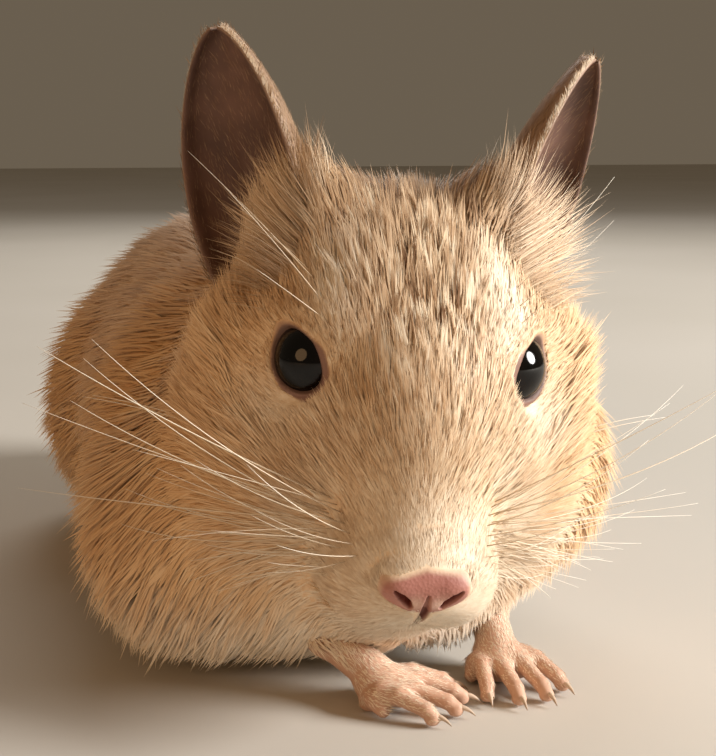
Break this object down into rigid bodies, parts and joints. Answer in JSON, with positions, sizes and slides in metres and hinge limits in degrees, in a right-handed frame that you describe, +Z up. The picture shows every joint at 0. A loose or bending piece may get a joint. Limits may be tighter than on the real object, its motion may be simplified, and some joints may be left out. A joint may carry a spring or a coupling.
{
  "type": "degu",
  "caption": "Life-size degu model with a sandy coat, crouching with its head low and turned to one side, large cupped ears and a tufted tail along the floor.",
  "frame": {"origin": "middle of the bounding box, at the floor the feet stand on", "axes": "+Z up; the animal faces -Y with its tail towards +Y; its left side is +X"},
  "size_m": [0.0964, 0.218, 0.0778],
  "materials": {
    "coat": "short soft fur, sand with a cream underside",
    "ear_skin": "thin matt skin with fine down",
    "paw_skin": "pale pink skin with short sparse hair",
    "eye": "wet gloss, near black"
  },
  "bodies": {
    "root": {"head": "coat", "neck": "coat", "trunk": "coat", "tail": "coat", "ear_left": "ear_skin", "ear_right": "ear_skin", "eye_left": "eye", "eye_right": "eye", "hindleg_left": "coat", "hindleg_right": "coat", "hindfoot_left": "paw_skin", "hindfoot_right": "paw_skin", "foreleg_left": "paw_skin", "foreleg_right": "paw_skin"}
  },
  "joints": []
}
